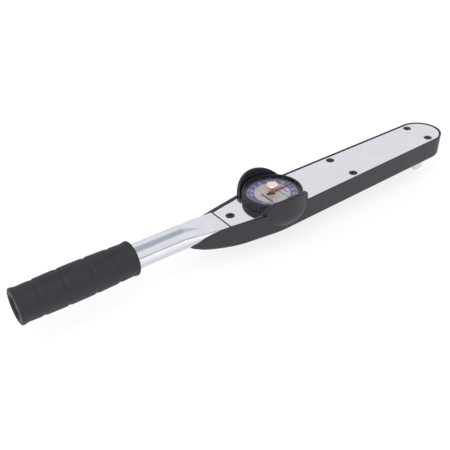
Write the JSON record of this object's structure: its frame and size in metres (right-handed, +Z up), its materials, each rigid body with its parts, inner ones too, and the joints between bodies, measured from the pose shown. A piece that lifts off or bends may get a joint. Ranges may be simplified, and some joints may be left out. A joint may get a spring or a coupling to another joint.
{
  "type": "torque wrench",
  "caption": "Dial-indicating torque wrench with a square drive, a deflecting beam in a long housing, a memory pointer, guard arches and a rubber-gripped tube handle.",
  "frame": {"origin": "on the drive axis, at the end face of the drive square", "axes": "+Z up along the drive axis, through the head to the dial side; +X along the centreline away from the handle, so the handle lies on the -X side; +Y to the left when looking from the handle to the head"},
  "size_m": [0.5385, 0.075, 0.0697],
  "materials": {
    "black_plastic": "fine matte moulded texture",
    "polished_plate": "mirror-polished plate",
    "black_screws": "black oxide, satin",
    "inner_steel": "plain zinc-plated steel",
    "bronze": "sintered bronze",
    "spring_steel": "ground, tempered spring steel",
    "chrome_tube": "bright chrome plating",
    "black_rubber": "matte grip rubber",
    "plug_plastic": "dark blue-grey, semi-matte",
    "brass": "turned brass",
    "drive_steel": "bright nickel-chrome",
    "black_paint": "black enamel",
    "dial_print": "silver dial with a printed scale",
    "gasket_rubber": "soft black rubber",
    "clear_lens": "clear moulded lens",
    "knob_brass": "pale satin brass",
    "dark_stem": "dark oxide steel",
    "red_paint": "red enamel"
  },
  "bodies": {
    "frame": {"housing": "black_plastic", "top_plate": "polished_plate", "plate_screws": "black_screws", "frame_channel": "inner_steel", "plate_posts": "inner_steel", "head_bridge": "inner_steel", "lower_bush": "bronze", "upper_bush": "bronze", "deflecting_beam": "spring_steel", "load_pins": "spring_steel", "overload_stops": "inner_steel", "anchor_block": "inner_steel", "block_screws": "inner_steel", "handle_tube": "chrome_tube", "tube_pins": "inner_steel", "grip": "black_rubber", "end_plug": "plug_plastic", "gauge_base": "black_plastic", "bezel_clip": "spring_steel", "movement_bridge": "brass", "movement_pillars": "brass", "movement_screws": "inner_steel", "arbor_bush": "brass", "hairspring": "bronze", "hairspring_stud": "brass"},
    "drive_head": {"drive_head": "drive_steel", "yoke_pins": "spring_steel", "thrust_washer": "bronze", "retaining_ring": "spring_steel", "sector_arm": "inner_steel", "arm_screws": "inner_steel", "detent_spring": "spring_steel"},
    "detent": {"detent_ball": "drive_steel"},
    "pointer": {"pointer_arbor": "drive_steel", "pinion": "brass", "main_pointer": "black_paint", "hairspring_collet": "brass"},
    "bezel": {"bezel": "black_plastic", "bezel_carrier": "black_plastic", "dial_face": "dial_print", "dial_spacer": "black_plastic", "lens_gasket": "gasket_rubber", "lens": "clear_lens", "knob_bush": "brass"},
    "memory": {"memory_knob": "knob_brass", "knob_stem": "dark_stem", "memory_pointer": "red_paint"}
  },
  "joints": [
    {"name": "torque_deflection", "type": "hinge", "parent": "frame", "child": "drive_head", "pos_m": [0, 0, 0], "axis": [0, 0, 1], "range_deg": [-1.8, 1.8], "stiffness_Nm_per_rad": 6400, "deforming": ["deflecting_beam"]},
    {"name": "detent_press", "type": "slide", "parent": "drive_head", "child": "detent", "axis": [1, 0, 0], "range_m": [-0.0011, 0], "stiffness_N_per_m": 3000, "springref_m": 0.0005, "deforming": ["detent_spring"]},
    {"name": "pointer_spin", "type": "hinge", "parent": "frame", "child": "pointer", "pos_m": [-0.23, 0, 0], "axis": [0, 0, 1], "range_deg": [-175, 175], "deforming": ["hairspring"]},
    {"name": "bezel_turn", "type": "hinge", "parent": "frame", "child": "bezel", "pos_m": [-0.23, 0, 0], "axis": [0, 0, 1], "continuous": true},
    {"name": "memory_turn", "type": "hinge", "parent": "bezel", "child": "memory", "pos_m": [-0.23, 0, 0], "axis": [0, 0, 1], "continuous": true}
  ],
  "couplings": [
    {"joint": "pointer_spin", "follows": "torque_deflection", "ratio": -94.833}
  ]
}
